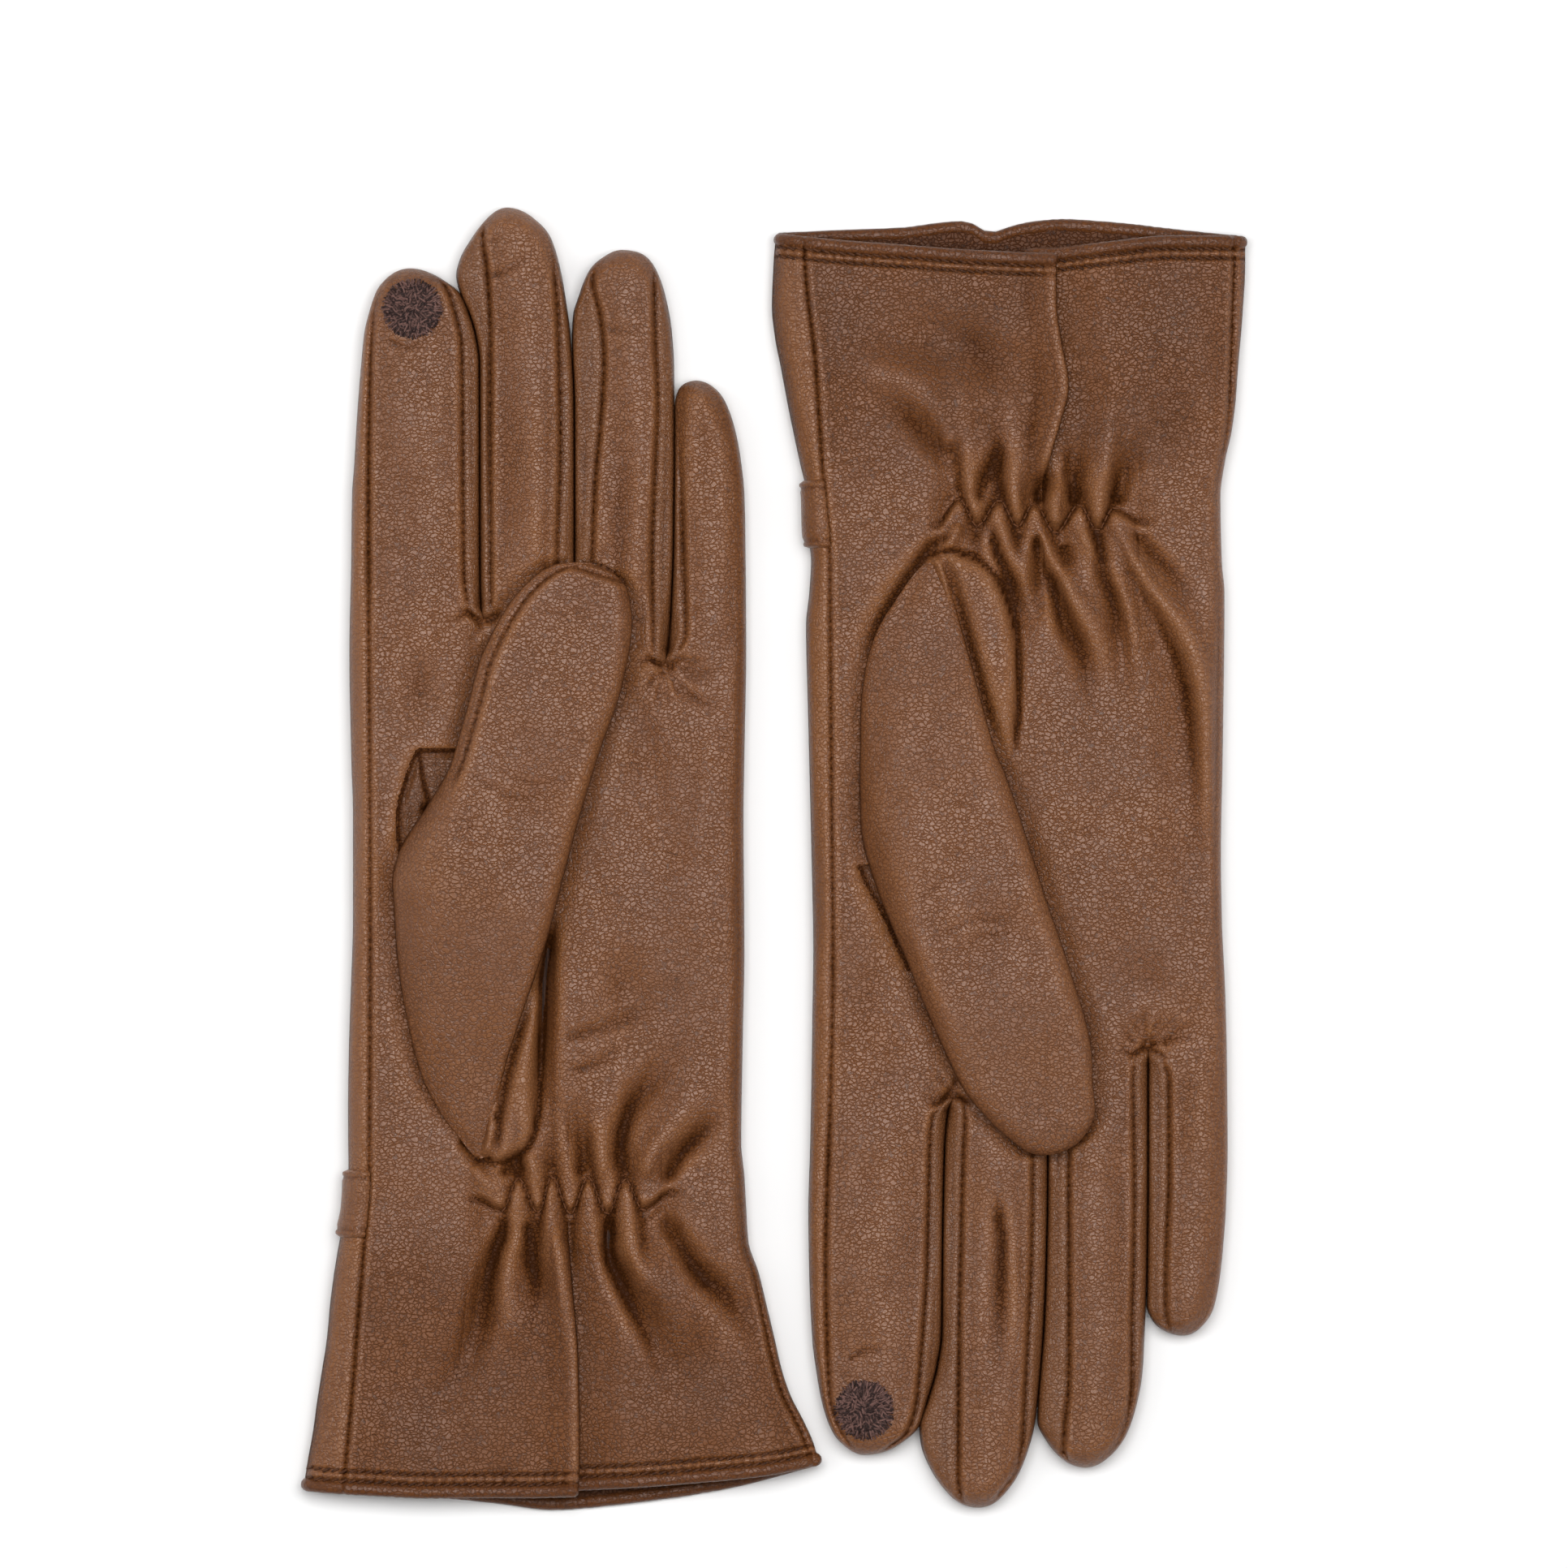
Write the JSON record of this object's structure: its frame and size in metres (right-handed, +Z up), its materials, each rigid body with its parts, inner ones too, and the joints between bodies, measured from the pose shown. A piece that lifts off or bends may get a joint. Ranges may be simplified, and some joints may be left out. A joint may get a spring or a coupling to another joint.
{
  "type": "pair of touchscreen gloves",
  "caption": "Pair of brown leather gloves laid palm up, thumbs folded in, with gathered wrists, vented flared cuffs and an embroidered touch patch on each index fingertip.",
  "frame": {"origin": "middle of the pair's footprint, on the surface that the gloves lie on", "axes": "+Y along the gloves towards the left-hand glove's fingertips, +X from the left-hand glove to the right-hand glove, +Z up out of the palms"},
  "size_m": [0.2105, 0.289, 0.0189],
  "materials": {
    "leather": "satin, fine grain",
    "fourchette_leather": "satin, fine grain",
    "trim_leather": "satin, folded edge",
    "lining": "brushed knit",
    "elastic": "woven",
    "touch_thread": "embroidered conductive thread"
  },
  "bodies": {
    "left_hand": {"left_palm_leather": "leather", "left_back_leather": "leather", "left_crotch_fourchettes": "fourchette_leather", "left_hand_lining": "lining", "left_wrist_elastic": "elastic", "left_cuff_binding": "trim_leather", "left_wrist_strap": "trim_leather", "left_thumb_gusset": "fourchette_leather", "left_thumb_base": "leather"},
    "left_index": {"left_index_front": "leather", "left_index_back": "leather", "left_index_fourchettes": "fourchette_leather", "left_index_lining": "lining", "left_touch_patch": "touch_thread"},
    "left_middle": {"left_middle_front": "leather", "left_middle_back": "leather", "left_middle_fourchettes": "fourchette_leather", "left_middle_lining": "lining"},
    "left_ring": {"left_ring_front": "leather", "left_ring_back": "leather", "left_ring_fourchettes": "fourchette_leather", "left_ring_lining": "lining"},
    "left_little": {"left_little_front": "leather", "left_little_back": "leather", "left_little_fourchettes": "fourchette_leather", "left_little_lining": "lining"},
    "left_thumb": {"left_thumb_front": "leather", "left_thumb_back": "leather", "left_thumb_lining": "lining"},
    "right_hand": {"right_palm_leather": "leather", "right_back_leather": "leather", "right_crotch_fourchettes": "fourchette_leather", "right_hand_lining": "lining", "right_wrist_elastic": "elastic", "right_cuff_binding": "trim_leather", "right_wrist_strap": "trim_leather", "right_thumb_gusset": "fourchette_leather", "right_thumb_base": "leather"},
    "right_index": {"right_index_front": "leather", "right_index_back": "leather", "right_index_fourchettes": "fourchette_leather", "right_index_lining": "lining", "right_touch_patch": "touch_thread"},
    "right_middle": {"right_middle_front": "leather", "right_middle_back": "leather", "right_middle_fourchettes": "fourchette_leather", "right_middle_lining": "lining"},
    "right_ring": {"right_ring_front": "leather", "right_ring_back": "leather", "right_ring_fourchettes": "fourchette_leather", "right_ring_lining": "lining"},
    "right_little": {"right_little_front": "leather", "right_little_back": "leather", "right_little_fourchettes": "fourchette_leather", "right_little_lining": "lining"},
    "right_thumb": {"right_thumb_front": "leather", "right_thumb_back": "leather", "right_thumb_lining": "lining"}
  },
  "joints": [
    {"name": "left_index_fold", "type": "hinge", "parent": "left_hand", "child": "left_index", "pos_m": [-0.08225, 0.086, 0.005], "axis": [1, 0, 0], "range_deg": [0, 90]},
    {"name": "left_middle_fold", "type": "hinge", "parent": "left_hand", "child": "left_middle", "pos_m": [-0.0573, 0.091, 0.005], "axis": [1, 0, 0], "range_deg": [0, 90]},
    {"name": "left_ring_fold", "type": "hinge", "parent": "left_hand", "child": "left_ring", "pos_m": [-0.03525, 0.086, 0.005], "axis": [1, 0, 0], "range_deg": [0, 90]},
    {"name": "left_little_fold", "type": "hinge", "parent": "left_hand", "child": "left_little", "pos_m": [-0.01545, 0.07, 0.005], "axis": [1, 0, 0], "range_deg": [0, 90]},
    {"name": "left_thumb_fold", "type": "hinge", "parent": "left_hand", "child": "left_thumb", "pos_m": [-0.06695, -0.0092, 0.01465], "axis": [0.9537, -0.3007, 0], "range_deg": [0, 80]},
    {"name": "right_index_fold", "type": "hinge", "parent": "right_hand", "child": "right_index", "pos_m": [0.01945, -0.086, 0.005], "axis": [-1, 0, 0], "range_deg": [0, 90]},
    {"name": "right_middle_fold", "type": "hinge", "parent": "right_hand", "child": "right_middle", "pos_m": [0.0444, -0.091, 0.005], "axis": [-1, 0, 0], "range_deg": [0, 90]},
    {"name": "right_ring_fold", "type": "hinge", "parent": "right_hand", "child": "right_ring", "pos_m": [0.06645, -0.086, 0.005], "axis": [-1, 0, 0], "range_deg": [0, 90]},
    {"name": "right_little_fold", "type": "hinge", "parent": "right_hand", "child": "right_little", "pos_m": [0.08625, -0.07, 0.005], "axis": [-1, 0, 0], "range_deg": [0, 90]},
    {"name": "right_thumb_fold", "type": "hinge", "parent": "right_hand", "child": "right_thumb", "pos_m": [0.03475, 0.0092, 0.01465], "axis": [-0.9537, -0.3007, 0], "range_deg": [0, 80]},
    {"name": "right_glove_slide", "type": "slide", "parent": "left_hand", "child": "right_hand", "axis": [1, 0, 0], "range_m": [0, 0.1]}
  ]
}
